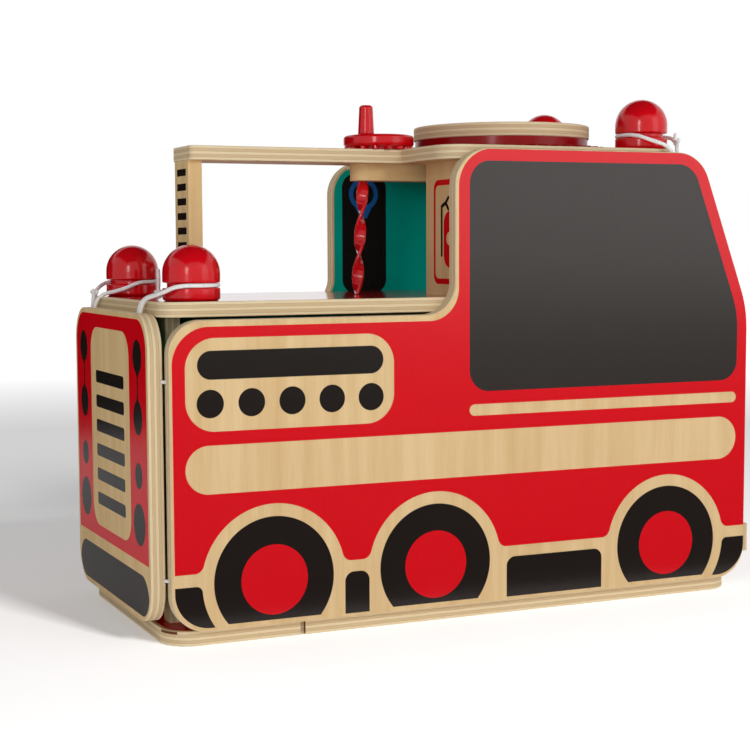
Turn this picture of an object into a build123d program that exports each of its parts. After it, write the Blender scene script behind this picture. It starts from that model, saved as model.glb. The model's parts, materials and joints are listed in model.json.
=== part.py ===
"""A wooden toy fire station that packs up into the shape of a fire truck.

X runs along the truck with the cab at +X, Y across it and Z up, all in millimetres. The origin is on
the ground under the middle of the closed truck. The near long side is at -Y. Every board is plywood.
"""

from build123d import *
import math
import os

# Plywood and the gaps between boards
sheet = 10.0
seat_gap = 0.3
edge_round = 0.8
cut_overrun = 5.0

# The closed truck, measured over the two side panels
side_length = 448.0
truck_width = 206.0
bed_height = 202.0
cab_height = 315.0
cab_start_near = 204.0
cab_start_far = 195.6
brow_height = 201.0
brow_setback = 43.3
side_panel_setback = 1.2
bed_corner_radius = 22.0
foot_corner_radius = 24.0
cab_neck_radius = 22.0
cab_back_radius = 26.0
brow_radius = 28.0
nose_radius = 80.0

# Rear panel and the corners where the panels are tied
rear_panel_lift = 4.0
seam_tie_heights = (34.0, 163.0)
tie_radius = 1.3
tie_hole_radius = 1.6
tie_reach = 12.0

# Base, deck and floors
base_edge_inset = 6.0
base_corner_radius = 20.0
deck_corner_radius = 14.0
deck_rise = 1.8
front_inset = 4.0
middle_floor_height = 96.0
middle_floor_width = 102.0
base_notch_place = 93.6
base_notch_width = 3.0
base_notch_depth = 2.5

# Lower walls
wall_end_gap = 1.0
rear_wall_setback = 10.0
rear_wall_width = 136.0
rear_arch_width = 96.0
rear_arch_height = 150.0
middle_wall_setback = 222.0
door_width = 54.0
door_height = 84.0
door_jamb = 17.0
window_width = 50.0
window_height = 52.0
window_drop = 25.0
window_radius = 8.0

# Cab walls and the slanted windscreen board
cab_wall_width = 68.0
screen_inset = 10.0
screen_window_width = 132.0
screen_window_sill_share = 0.24
screen_window_top_share = 0.86

# Top shelf: a narrow walkway that widens into the cab roof
shelf_rise = 3.5
walkway_start = 44.0
walkway_width = 40.0
walkway_corner_radius = 3.0
roof_start = 203.0
roof_end = 398.0
roof_radius = 20.0
roof_step_radius = 4.0
post_width = 30.0

# Ladders
ladder_width = 28.0
ladder_place = 64.0

# Cleat and twisted pole under the walkway
cleat_start = 173.0
cleat_length = 89.5
cleat_width = 20.0
cleat_height = 12.0
pole_foot_place = 177.0
pole_foot_turn = 66.2
pole_lean = 5.4
pole_width = 8.6
pole_thickness = 2.6
pole_half_turn = 29.3
pole_steps_per_half_turn = 6

# Turned domes that the elastic loops hook on
dome_radius = 19.0
dome_height = 36.8
dome_flange_height = 8.5
dome_groove_height = 3.4
dome_groove_depth = 3.0
dome_shoulder_height = 17.8
dome_flange_round = 2.5
dome_edge_inset = 23.0
rear_dome_place = 27.5
cab_dome_place = 376.0
dowel_radius = 4.0
dowel_depth = 7.0
dowel_clearance = 0.05

# Elastic loops
loop_radius = 1.4
loop_hole_radius = 1.7
loop_strand_spacing = 4.4
loop_hole_depth = 4.0
loop_groove_clearance = 0.3
rear_anchor_inboard = 11.0
cab_anchor_forward = 10.0
rear_lead_share = 0.47
cab_lead_share = 0.32
loop_brink_along_share = 0.53
loop_brink_across_share = 1.16
loop_slack_along_share = 1.13
loop_slack_across_share = 0.97
loop_slack_height_share = 0.7
loop_ring_sides = 8
loop_bend_share = 0.45
loop_hook_share = 0.98

# Crank and turntable, meshed by a toothed rim
tooth_module = 3.0
pressure_angle = 25.0
crank_teeth = 15
turntable_teeth = 53
tooth_thinning = 0.25
addendum_share = 1.0
dedendum_share = 1.25
flank_steps = 4
rim_height = 1.8
crank_place = 195.0
crank_cap_radius = 25.8
crank_top = 10.9
crank_cap_round = 2.5
crank_peg_height = 21.0
crank_peg_foot_radius = 6.0
crank_peg_head_radius = 5.0
crank_peg_head_round = 2.0
crank_peg_arm = 16.0
crank_peg_angle = 211.0
crank_axle_radius = 4.0
turntable_radius = 66.0
turntable_ring_radius = 65.0
turntable_top = 19.0
turntable_edge_round = 1.2
turntable_axle_radius = 5.0
axle_clearance = 0.05
axle_depth_share = 0.6

# Lift car on its rail, on the inside of the front wall
lift_side_gap = 12.0
lift_rail_width = 10.0
lift_rail_depth = 6.0
lift_rail_top_gap = 12.0
lift_car_width = 52.0
lift_car_length = 50.0
lift_car_wall = 3.0
lift_car_side_height = 13.0
lift_car_back_height = 42.0
lift_guide_width = 5.0
lift_clearance = 0.4
lift_lip_radius = 1.0

# Front bumper bar
bumper_bottom = 17.4
bumper_top = 38.0
bumper_end_gap = 1.0
bumper_overlap = 3.5
bumper_radius = 1.5

# Places in the truck's own frame
rear_end = -side_length / 2
front_end = side_length / 2
side_rear = rear_end + side_panel_setback
half_width = truck_width / 2
inner_half_width = half_width - sheet
base_top = sheet
deck_bottom = base_top + bed_height + deck_rise
deck_top = deck_bottom + sheet
roof_bottom = base_top + cab_height - sheet + shelf_rise
roof_top = roof_bottom + sheet
front_face = front_end - front_inset
middle_wall_back = rear_end + middle_wall_setback
middle_wall_front = middle_wall_back + sheet
wall_half_width = inner_half_width - wall_end_gap
slide_half_width = inner_half_width - seat_gap
middle_floor_bottom = base_top + middle_floor_height
middle_floor_top = middle_floor_bottom + sheet
middle_floor_edge = wall_half_width - middle_floor_width
dome_place_across = inner_half_width - dome_edge_inset
door_centre = door_width / 2 + door_jamb - wall_half_width


def plane_across(x):
    """A plane square to the truck, with its first axis along +Y and its second along +Z."""
    return Plane(origin=(x, 0, 0), x_dir=(0, 1, 0), z_dir=(1, 0, 0))


def plane_along(y):
    """An upright plane along the truck, facing -Y, with its first axis along +X."""
    return Plane(origin=(0, y, 0), x_dir=(1, 0, 0), z_dir=(0, -1, 0))


def rounded_outline(corners, radii):
    """A flat face from corner points, each corner rounded by its own radius, 0 for sharp."""
    face = make_face(Polyline(*corners, close=True))
    for (x, y), radius in zip(corners, radii):
        if radius > 0:
            corner = face.vertices().sort_by_distance((x, y, 0))[0]
            face = fillet(corner, radius=radius)
    return face


def rounded_block(x_low, x_high, y_low, y_high, z_low, z_high, radius):
    """A level board with rounded corners, between the given faces."""
    face = RectangleRounded(x_high - x_low, y_high - y_low, radius)
    middle = Pos((x_low + x_high) / 2, (y_low + y_high) / 2, z_low)
    return middle * extrude(face, amount=z_high - z_low)


def block(x_low, x_high, y_low, y_high, z_low, z_high):
    """A square-cornered block between the given faces."""
    centre = Pos((x_low + x_high) / 2, (y_low + y_high) / 2, (z_low + z_high) / 2)
    return centre * Box(x_high - x_low, y_high - y_low, z_high - z_low)


def ease_board(board, axis):
    """Ease the edges round both faces of a board, given the axis through its thickness."""
    faces = board.faces().filter_by(axis)
    return fillet(faces.edges(), radius=edge_round)


def side_panel_face(cab_start):
    """The truck's outline seen from the near side: low bed, cab, slanted brow."""
    nose = side_rear + side_length
    brow = nose - brow_setback
    cab_back = side_rear + cab_start
    floor = base_top + seat_gap
    corners = [
        (side_rear, floor),
        (nose, floor),
        (nose, floor + brow_height),
        (brow, floor + cab_height),
        (cab_back, floor + cab_height),
        (cab_back, floor + bed_height),
        (side_rear, floor + bed_height),
    ]
    radii = [
        foot_corner_radius,
        foot_corner_radius,
        nose_radius,
        brow_radius,
        cab_back_radius,
        cab_neck_radius,
        bed_corner_radius,
    ]
    return rounded_outline(corners, radii)


def tie_rods(side, radius, reach):
    """Short rods at 45 degrees through the corner line between rear panel and side panel."""
    rods = []
    middle = rear_end + side_panel_setback / 2
    for height in seam_tie_heights:
        rod = Rot(0, 90, 0) * Cylinder(radius, reach)
        turned = Rot(0, 0, side * 45) * rod
        rods.append(Pos(middle, side * inner_half_width, base_top + height) * turned)
    return rods


def loop_holes(anchor, top):
    """The two drilled holes that the ends of one elastic loop come out of."""
    depth = loop_hole_depth + cut_overrun
    holes = []
    for place in strand_places(anchor):
        centre = Pos(place[0], place[1], top - loop_hole_depth + depth / 2)
        holes.append(centre * Cylinder(loop_hole_radius, depth))
    return holes


def strand_places(anchor):
    """The two strand centres of a loop, side by side along the panel that holds it."""
    x, y, along = anchor
    half = loop_strand_spacing / 2
    if along == "x":
        return [(x - half, y), (x + half, y)]
    return [(x, y - half), (x, y + half)]


rear_panel_bottom = base_top + rear_panel_lift
rear_panel_top = rear_panel_bottom + bed_height
side_panel_top = base_top + seat_gap + cab_height
rear_dome_x = rear_end + rear_dome_place
cab_dome_x = rear_end + cab_dome_place


def rear_anchor(side):
    """Where a rear loop leaves the top edge of the rear panel."""
    return (rear_end - sheet / 2, side * (dome_place_across - rear_anchor_inboard), "y")


def cab_anchor(side):
    """Where a cab loop leaves the top edge of a side panel."""
    return (cab_dome_x + cab_anchor_forward, side * (half_width - sheet / 2), "x")


def side_panel(side):
    """One long side panel; side is -1 for the near one and +1 for the far one."""
    outer = side * half_width if side > 0 else -inner_half_width
    cab_start = cab_start_far if side > 0 else cab_start_near
    board = extrude(plane_along(outer) * side_panel_face(cab_start), amount=sheet)
    board = ease_board(board, Axis.Y)
    for rod in tie_rods(side, tie_hole_radius, tie_reach + sheet):
        board -= rod
    for hole in loop_holes(cab_anchor(side), side_panel_top):
        board -= hole
    return board


def rear_panel():
    """The rear end board, held a little above the ground board by its loops."""
    centre = (rear_panel_bottom + rear_panel_top) / 2
    face = RectangleRounded(inner_half_width * 2, bed_height, foot_corner_radius)
    lifted = Plane(origin=(rear_end - sheet, 0, centre), x_dir=(0, 1, 0), z_dir=(1, 0, 0))
    board = ease_board(extrude(lifted * face, amount=sheet), Axis.X)
    for side in (-1, 1):
        for rod in tie_rods(side, tie_hole_radius, tie_reach + sheet):
            board -= rod
        for hole in loop_holes(rear_anchor(side), rear_panel_top):
            board -= hole
    return board


def base_board():
    """The ground board that everything stands on."""
    side_y = half_width - base_edge_inset
    low_x = rear_end + seat_gap
    board = rounded_block(low_x, front_face, -side_y, side_y, 0, sheet, base_corner_radius)
    board = ease_board(board, Axis.Z)
    notch = Box(base_notch_width, base_notch_depth * 2, sheet * 2)
    return board - Pos(rear_end + base_notch_place, -side_y, sheet / 2) * notch


def dome_places():
    """The foot of each dome, as a name, a place and the height it stands on."""
    return [
        ("rear_near", rear_dome_x, -dome_place_across, deck_top),
        ("rear_far", rear_dome_x, dome_place_across, deck_top),
        ("cab_near", cab_dome_x, -dome_place_across, roof_top),
        ("cab_far", cab_dome_x, dome_place_across, roof_top),
    ]


def dowel_hole(x, y, face_height):
    """The blind hole for a dome's dowel, cut down from the face that it stands on."""
    depth = dowel_depth + cut_overrun
    radius = dowel_radius + dowel_clearance
    return Pos(x, y, face_height - dowel_depth + depth / 2) * Cylinder(radius, depth)


def deck():
    """The truck bed, which is also the station's upper floor."""
    low_x = rear_end + seat_gap
    half = slide_half_width
    board = rounded_block(low_x, front_face, -half, half, deck_bottom, deck_top, deck_corner_radius)
    board = ease_board(board, Axis.Z)
    for name, x, y, height in dome_places():
        if height == deck_top:
            board -= dowel_hole(x, y, height)
    return board


def top_shelf():
    """The walkway and the cab roof, cut from one board."""
    walk = walkway_width / 2
    roof = slide_half_width
    start = rear_end + walkway_start
    step = rear_end + roof_start
    end = rear_end + roof_end
    corners = [
        (start, -walk),
        (step, -walk),
        (step, -roof),
        (end, -roof),
        (end, roof),
        (step, roof),
        (step, walk),
        (start, walk),
    ]
    radii = [
        walkway_corner_radius,
        roof_step_radius,
        roof_radius,
        roof_radius,
        roof_radius,
        roof_radius,
        roof_step_radius,
        walkway_corner_radius,
    ]
    face = rounded_outline(corners, radii)
    board = ease_board(Pos(0, 0, roof_bottom) * extrude(face, amount=sheet), Axis.Z)
    for name, x, y, height in dome_places():
        if height == roof_top:
            board -= dowel_hole(x, y, height)
    for x, radius in ((crank_x, crank_axle_radius), (turntable_x, turntable_axle_radius)):
        board -= Pos(x, 0, roof_bottom + sheet / 2) * Cylinder(radius + axle_clearance, sheet * 2)
    return board


def arch_cutter(width, height, centre, x, foot):
    """A doorway shape: straight jambs and a half-round head."""
    radius = width / 2
    straight = height - radius
    jambs = Pos(centre, foot + straight / 2 - cut_overrun / 2) * Rectangle(width, straight + cut_overrun)
    head = Pos(centre, foot + straight) * Circle(radius)
    face = jambs + head
    return extrude(plane_across(x - cut_overrun) * face, amount=sheet + cut_overrun * 2)


def rear_wall():
    """The inner wall just inside the rear panel, with the vehicle arch."""
    x = rear_end + rear_wall_setback
    half = rear_wall_width / 2
    board = block(x, x + sheet, -half, half, base_top, deck_bottom)
    return board - arch_cutter(rear_arch_width, rear_arch_height, 0, x, base_top)


def middle_wall():
    """The wall under the back of the cab, with a doorway and a window above it."""
    x = middle_wall_back
    board = block(x, x + sheet, -wall_half_width, wall_half_width, base_top, deck_bottom)
    board -= arch_cutter(door_width, door_height, door_centre, x, base_top)
    window = RectangleRounded(window_width, window_height, window_radius)
    window = Pos(door_centre, deck_bottom - window_drop - window_height / 2) * window
    cutter = extrude(plane_across(x - cut_overrun) * window, amount=sheet + cut_overrun * 2)
    return board - cutter


def front_wall():
    """The truck's nose below the windscreen."""
    half = wall_half_width
    return block(front_face - sheet, front_face, -half, half, base_top, deck_bottom)


def front_bumper():
    """The bar across the nose, on a pad that fills the gap between the side panels."""
    half = inner_half_width - bumper_end_gap
    bar_half = inner_half_width + bumper_overlap
    low = base_top + bumper_bottom
    high = base_top + bumper_top
    back = side_rear + side_length + seat_gap
    pad = block(front_face, back, -half, half, low, high)
    bar = block(back, front_end + sheet, -bar_half, bar_half, low, high)
    upright = bar.edges().filter_by(Axis.Z).group_by(Axis.X)[-1]
    return pad + fillet(upright, radius=bumper_radius)


def middle_floor():
    """The half floor between the ground floor and the deck."""
    low_x = middle_wall_front
    high_x = front_face - sheet
    board = block(low_x, high_x, middle_floor_edge, wall_half_width, middle_floor_bottom, middle_floor_top)
    return board


def ladder(low, high):
    """A ladder strip that stands on one floor and carries the edge of the next."""
    x = middle_wall_front + ladder_place
    y = middle_floor_edge
    return block(x, x + ladder_width, y, y + sheet, low, high)


def cab_back_wall():
    """The wall behind the near half of the cab."""
    x = middle_wall_back
    low = -wall_half_width
    return block(x, x + sheet, low, low + cab_wall_width, deck_top, roof_bottom)


def windscreen():
    """The slanted board under the front of the roof, with one wide window."""
    slope = brow_setback / (cab_height - brow_height)
    foot = front_end - screen_inset - (deck_top - base_top - brow_height) * slope
    head = foot - (roof_bottom - deck_top) * slope
    depth = sheet * math.hypot(1, slope)
    corners = [(foot, deck_top), (head, roof_bottom), (head - depth, roof_bottom), (foot - depth, deck_top)]
    face = make_face(Polyline(*corners, close=True))
    board = extrude(plane_along(wall_half_width) * face, amount=wall_half_width * 2)
    rise = roof_bottom - deck_top
    low = deck_top + rise * screen_window_sill_share
    high = deck_top + rise * screen_window_top_share
    window = RectangleRounded(screen_window_width, high - low, window_radius)
    window = Pos(0, (low + high) / 2) * window
    reach = foot - head + depth + cut_overrun * 2
    return board - extrude(plane_across(head - depth - cut_overrun) * window, amount=reach)


def ladder_post():
    """The ladder strip that carries the end of the walkway."""
    x = rear_end + walkway_start
    return block(x, x + sheet, -post_width / 2, post_width / 2, deck_top, roof_bottom)


def pole_cleat():
    """The batten under the walkway that holds the pole and stiffens the shelf at the crank."""
    x = rear_end + cleat_start
    half = cleat_width / 2
    low = roof_bottom - cleat_height
    middle = (low + roof_bottom) / 2
    cleat = block(x + half, x + cleat_length, -half, half, low, roof_bottom)
    cleat += Pos(x + half, 0, middle) * Cylinder(half, cleat_height)
    bore = Pos(crank_x, 0, middle) * Cylinder(crank_axle_radius + axle_clearance, cleat_height * 2)
    return cleat - bore


def twisted_pole():
    """A flat red strip twisted about its length, leaning a little from foot to head."""
    height = roof_bottom - cleat_height - deck_top
    steps = round(height / pole_half_turn * pole_steps_per_half_turn)
    foot_x = rear_end + pole_foot_place
    sections = []
    for step in range(steps + 1):
        share = step / steps
        turn = pole_foot_turn + math.degrees(math.pi * height * share / pole_half_turn)
        centre = Pos(foot_x + pole_lean * share, 0, deck_top + height * share)
        sections.append(centre * Rot(0, 0, turn) * Rectangle(pole_width, pole_thickness))
    return loft(sections, ruled=True)


def dome(x, y, foot):
    """A turned dome: round head, a groove for the elastic, and a flange."""
    groove_top = dome_flange_height + dome_groove_height
    inner = dome_radius - dome_groove_depth
    shoulder = (dome_radius, dome_shoulder_height)
    crown = (0, dome_height)
    rise = dome_height - dome_shoulder_height
    eighth = math.pi / 4
    knee = (dome_radius * math.sin(eighth), dome_shoulder_height + rise * math.cos(eighth))
    profile = [
        Line((0, 0), (dome_radius, 0)),
        Line((dome_radius, 0), (dome_radius, dome_flange_height)),
        Line((dome_radius, dome_flange_height), (inner, dome_flange_height)),
        Line((inner, dome_flange_height), (inner, groove_top)),
        Line((inner, groove_top), (dome_radius, groove_top)),
        Line((dome_radius, groove_top), shoulder),
        ThreePointArc(shoulder, knee, crown),
        Line(crown, (0, 0)),
    ]
    face = Plane.XZ * make_face(Curve() + profile)
    turned = revolve(face, axis=Axis.Z)
    turned = fillet(turned.edges().group_by(Axis.Z)[0], radius=dome_flange_round)
    bore = Pos(0, 0, dowel_depth / 2) * Cylinder(dowel_radius + dowel_clearance, dowel_depth)
    return Pos(x, y, foot) * (turned - bore)


def dome_dowels():
    """The four dowels between the domes and the boards under them."""
    length = dowel_depth * 2 - seat_gap
    return [Pos(x, y, foot) * Cylinder(dowel_radius, length) for name, x, y, foot in dome_places()]


def groove_ring():
    """The radius of an elastic loop's centre line where it lies in a dome's groove."""
    return dome_radius - dome_groove_depth + loop_radius + loop_groove_clearance


def loop_route(anchor, edge, centre, foot, lead_share):
    """Points of one elastic loop, from its hole, round the back of the dome's groove, and back."""
    groove = foot + dome_flange_height + dome_groove_height / 2
    ring = groove_ring()
    dx = anchor[0] - centre[0]
    dy = anchor[1] - centre[1]
    reach = math.hypot(dx, dy)
    out = (dx / reach, dy / reach)
    side = (-out[1], out[0])
    lead_height = edge + (groove - edge) * lead_share
    slack_height = edge + (groove - edge) * loop_slack_height_share

    def at(along, across, height):
        x = centre[0] + out[0] * along + side[0] * across
        y = centre[1] + out[1] * along + side[1] * across
        return (x, y, height)

    def strand(hand):
        brink = at(ring * loop_brink_along_share, hand * ring * loop_brink_across_share, groove)
        slack = at(ring * loop_slack_along_share, hand * ring * loop_slack_across_share, slack_height)
        return [brink, slack]

    def above(place):
        return (place[0] - out[0] * seat_gap, place[1] - out[1] * seat_gap, lead_height)

    def below(place):
        return (place[0], place[1], edge - loop_hole_depth + seat_gap)

    first, last = strand_places(anchor)
    if (first[0] - centre[0]) * side[0] + (first[1] - centre[1]) * side[1] > 0:
        first, last = last, first
    step = math.tau / loop_ring_sides
    corner = ring / math.cos(step / 2)
    around = []
    for index in range(loop_ring_sides // 2):
        angle = -step * (index + 2.5)
        around.append(at(corner * math.cos(angle), corner * math.sin(angle), groove))
    start = [below(first), above(first)] + strand(-1)[::-1]
    end = strand(1) + [above(last), below(last)]
    return start + around + end


def bend_radii(points):
    """Bend at each inner point: the groove's own ring where the loop goes round it, else what fits."""
    ring = groove_ring() * loop_hook_share
    hook_run = ring * math.tan(math.pi / loop_ring_sides)
    hooks = range(4, len(points) - 4)
    radii = []
    for index in range(1, len(points) - 1):
        before, here, after = points[index - 1 : index + 2]
        into = Vector(*here) - Vector(*before)
        away = Vector(*after) - Vector(*here)
        if index in hooks:
            radii.append(ring)
            continue
        room_before = into.length * loop_bend_share
        room_after = away.length * loop_bend_share
        if index + 1 in hooks:
            room_after = (away.length - hook_run) * loop_hook_share
        if index - 1 in hooks:
            room_before = (into.length - hook_run) * loop_hook_share
        half_turn = math.radians(into.get_angle(away) / 2)
        radii.append(min(room_before, room_after) / math.tan(half_turn))
    return radii


def elastic_loop(name, anchor, edge, centre, foot, lead_share):
    """The loop as a round cord swept along straight runs joined by arcs."""
    points = loop_route(anchor, edge, centre, foot, lead_share)
    radii = bend_radii(points)
    path = FilletPolyline(*points, radius=radii)
    start = Plane(origin=path @ 0, z_dir=path % 0)
    cord = sweep(start * Circle(loop_radius), path=path)
    expected = math.pi * loop_radius**2 * path.length
    print(name, "radii", [round(r, 1) for r in radii], "length", round(path.length, 1))
    print(name, "volume over section times length", round(cord.volume / expected, 4))
    print(name, "points", [tuple(round(c, 2) for c in p) for p in points])
    return cord


def gear_face(teeth):
    """An involute spur gear outline, its teeth thinned a little so that they run free."""
    pitch = tooth_module * teeth / 2
    base = pitch * math.cos(math.radians(pressure_angle))
    tip = pitch + tooth_module * addendum_share
    root = pitch - tooth_module * dedendum_share
    angle = math.radians(pressure_angle)
    half_pitch_angle = math.pi / teeth / 2 - tooth_thinning / pitch / 2
    base_half_angle = half_pitch_angle + math.tan(angle) - angle
    low = max(base, root)
    flank = []
    for step in range(flank_steps + 1):
        radius = low + (tip - low) * step / flank_steps
        roll = math.acos(min(base / radius, 1))
        flank.append((radius, base_half_angle - (math.tan(roll) - roll)))
    points = []
    for tooth in range(teeth):
        middle = math.tau * tooth / teeth
        side = [(root, -base_half_angle)] + [(radius, -half) for radius, half in flank]
        other = [(radius, half) for radius, half in reversed(flank)] + [(root, base_half_angle)]
        for radius, offset in side + other:
            points.append((radius * math.cos(middle + offset), radius * math.sin(middle + offset)))
    return make_face(Polyline(*points, close=True))


crank_x = rear_end + crank_place
gear_distance = tooth_module * (crank_teeth + turntable_teeth) / 2
turntable_x = crank_x + gear_distance
rim_bottom = roof_top + seat_gap


def crank_wheel():
    """The crank's knob: a toothed rim under a round cap, bored for its axle from below."""
    rim = Pos(0, 0, rim_bottom) * extrude(gear_face(crank_teeth), amount=rim_height + seat_gap)
    cap_bottom = rim_bottom + rim_height + seat_gap
    cap_height = roof_top + crank_top - cap_bottom
    cap = Pos(0, 0, cap_bottom + cap_height / 2) * Cylinder(crank_cap_radius, cap_height)
    cap = fillet(cap.edges(), radius=crank_cap_round)
    depth = crank_top * axle_depth_share
    bore = Pos(0, 0, roof_top + depth / 2) * Cylinder(crank_axle_radius + axle_clearance, depth)
    return Pos(crank_x, 0, 0) * (rim + cap - bore)


def crank_peg():
    """The tapered handle that stands on the crank's cap."""
    foot = roof_top + crank_top
    peg = Cone(crank_peg_foot_radius, crank_peg_head_radius, crank_peg_height)
    peg = fillet(peg.edges().sort_by(Axis.Z)[-1], radius=crank_peg_head_round)
    angle = math.radians(crank_peg_angle)
    x = crank_x + crank_peg_arm * math.cos(angle)
    y = crank_peg_arm * math.sin(angle)
    return Pos(x, y, foot + crank_peg_height / 2) * peg


def turntable_gear():
    """The red ring under the turntable: a toothed rim with a round step on it."""
    gap_turn = 180 + 180 / turntable_teeth
    rim = Rot(0, 0, gap_turn) * extrude(gear_face(turntable_teeth), amount=rim_height)
    rim = Pos(0, 0, rim_bottom) * rim
    step_bottom = rim_bottom + rim_height
    step_height = roof_top + turntable_top - sheet - step_bottom
    step = Pos(0, 0, step_bottom + step_height / 2) * Cylinder(turntable_ring_radius, step_height)
    bore = Pos(0, 0, roof_top) * Cylinder(turntable_axle_radius + axle_clearance, turntable_top * 2)
    return Pos(turntable_x, 0, 0) * (rim + step - bore)


def turntable_disc():
    """The wooden landing disc on the turntable."""
    top = roof_top + turntable_top
    disc = Pos(0, 0, top - sheet / 2) * Cylinder(turntable_radius, sheet)
    disc = fillet(disc.edges(), radius=turntable_edge_round)
    depth = sheet * axle_depth_share
    bore = Pos(0, 0, top - sheet + depth / 2) * Cylinder(turntable_axle_radius + axle_clearance, depth)
    return Pos(turntable_x, 0, 0) * (disc - bore)


def axle(x, radius, low, high):
    """A plain upright axle pin."""
    return Pos(x, 0, (low + high) / 2) * Cylinder(radius, high - low)


def crank_axle():
    """The crank's pin, from the underside of the cleat up into the cap."""
    high = roof_top + crank_top * axle_depth_share - seat_gap
    return axle(crank_x, crank_axle_radius, roof_bottom - cleat_height, high)


def turntable_axle():
    """The turntable's pin, from the underside of the roof up into the disc."""
    high = roof_top + turntable_top - sheet + sheet * axle_depth_share - seat_gap
    return axle(turntable_x, turntable_axle_radius, roof_bottom, high)


lift_centre = lift_side_gap + lift_car_width / 2 - inner_half_width
lift_wall_x = front_face - sheet
lift_rail_x = lift_wall_x - lift_rail_depth
lift_car_back = lift_rail_x - lift_clearance


def lift_rail():
    """The upright batten that the lift car slides on."""
    half = lift_rail_width / 2
    y_low = lift_centre - half
    y_high = lift_centre + half
    return block(lift_rail_x, lift_wall_x, y_low, y_high, base_top, deck_bottom - lift_rail_top_gap)


def lift_car():
    """A shallow red tray with a tall back and two guides that straddle the rail."""
    bottom = base_top + seat_gap
    half = lift_car_width / 2
    y_low = lift_centre - half
    y_high = lift_centre + half
    x_high = lift_car_back
    x_low = x_high - lift_car_length
    wall = lift_car_wall
    tray = block(x_low, x_high, y_low, y_high, bottom, bottom + lift_car_side_height)
    hollow_top = bottom + lift_car_side_height + cut_overrun
    tray -= block(x_low + wall, x_high - wall, y_low + wall, y_high - wall, bottom + wall, hollow_top)
    back_high = bottom + lift_car_back_height
    car = tray + block(x_high - wall, x_high, y_low, y_high, bottom, back_high)
    guide_front = lift_wall_x - lift_clearance
    inner = lift_rail_width / 2 + lift_clearance
    for side in (-1, 1):
        near = lift_centre + side * inner
        away = near + side * lift_guide_width
        car += block(x_high, guide_front, min(near, away), max(near, away), bottom, back_high)
    lip = car.edges().filter_by(Axis.Z).group_by(Axis.X)[0]
    return fillet(lip, radius=lift_lip_radius)


def seam_ties(side):
    """The two elastic ties at one rear corner."""
    return tie_rods(side, tie_radius, tie_reach)


def rear_loop(side, name):
    """The loop from the rear panel to the dome on one side of the deck."""
    centre = (rear_dome_x, side * dome_place_across)
    return elastic_loop(name, rear_anchor(side), rear_panel_top, centre, deck_top, rear_lead_share)


def cab_loop(side, name):
    """The loop from a side panel to the dome on its side of the roof."""
    centre = (cab_dome_x, side * dome_place_across)
    return elastic_loop(name, cab_anchor(side), side_panel_top, centre, roof_top, cab_lead_share)


def write(name, shape):
    """Write one node; a list of solids becomes a group of separate solids."""
    solid = Compound(children=shape) if isinstance(shape, list) else shape
    export_step(solid, f"parts/{name}.step")


os.makedirs("parts", exist_ok=True)
write("base_board", base_board())
write("rear_wall", rear_wall())
write("middle_wall", middle_wall())
write("front_wall", front_wall())
write("front_bumper", front_bumper())
write("middle_floor", middle_floor())
write("ladder_lower", ladder(base_top, middle_floor_bottom))
write("ladder_upper", ladder(middle_floor_top, deck_bottom))
write("deck", deck())
write("cab_back_wall", cab_back_wall())
write("windscreen", windscreen())
write("top_shelf", top_shelf())
write("ladder_post", ladder_post())
write("pole_cleat", pole_cleat())
write("twisted_pole", twisted_pole())
for name, x, y, foot in dome_places():
    write(f"dome_{name}", dome(x, y, foot))
write("dome_dowels", dome_dowels())
write("crank_axle", crank_axle())
write("crank_wheel", crank_wheel())
write("crank_peg", crank_peg())
write("turntable_axle", turntable_axle())
write("turntable_gear", turntable_gear())
write("turntable_disc", turntable_disc())
write("lift_rail", lift_rail())
write("lift_car", lift_car())
write("rear_panel", rear_panel())
for side, label in ((-1, "near"), (1, "far")):
    write(f"{label}_side_panel", side_panel(side))
    write(f"{label}_seam_ties", seam_ties(side))
    write(f"rear_loop_{label}", rear_loop(side, f"rear_loop_{label}"))
    write(f"cab_loop_{label}", cab_loop(side, f"cab_loop_{label}"))
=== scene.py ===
# %% [markdown]
# A wooden toy fire station that packs up into a fire truck. Its boards and gears come from the packed
# CAD model, which is never moved. This script gives them birch veneer, printed paint, plywood edges
# and lacquer, and adds what is better made as a smooth surface: the turned domes, the twisted pole
# and the white elastic loops.

# %% Load the imported model
import json
import math
from functools import reduce

import bmesh
import bpy
import numpy as np
from mathutils import Matrix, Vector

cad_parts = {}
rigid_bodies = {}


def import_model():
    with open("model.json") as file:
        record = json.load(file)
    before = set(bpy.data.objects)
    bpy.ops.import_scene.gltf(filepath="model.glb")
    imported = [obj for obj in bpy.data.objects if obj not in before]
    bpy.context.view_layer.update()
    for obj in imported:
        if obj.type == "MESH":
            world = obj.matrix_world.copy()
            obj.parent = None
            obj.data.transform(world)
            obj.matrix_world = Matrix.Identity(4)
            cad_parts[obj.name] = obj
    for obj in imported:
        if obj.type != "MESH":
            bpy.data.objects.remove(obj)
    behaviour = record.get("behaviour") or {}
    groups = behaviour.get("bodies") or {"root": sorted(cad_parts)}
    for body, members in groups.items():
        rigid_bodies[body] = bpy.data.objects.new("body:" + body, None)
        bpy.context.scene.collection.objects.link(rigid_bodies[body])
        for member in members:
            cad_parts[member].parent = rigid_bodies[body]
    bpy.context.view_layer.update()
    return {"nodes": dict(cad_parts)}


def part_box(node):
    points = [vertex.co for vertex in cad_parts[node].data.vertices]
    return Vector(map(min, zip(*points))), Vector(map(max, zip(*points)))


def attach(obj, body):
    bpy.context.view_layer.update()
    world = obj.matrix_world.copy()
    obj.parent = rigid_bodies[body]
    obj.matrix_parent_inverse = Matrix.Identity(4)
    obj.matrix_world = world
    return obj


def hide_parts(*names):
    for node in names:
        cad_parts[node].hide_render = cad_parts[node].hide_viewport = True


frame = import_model()

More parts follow.
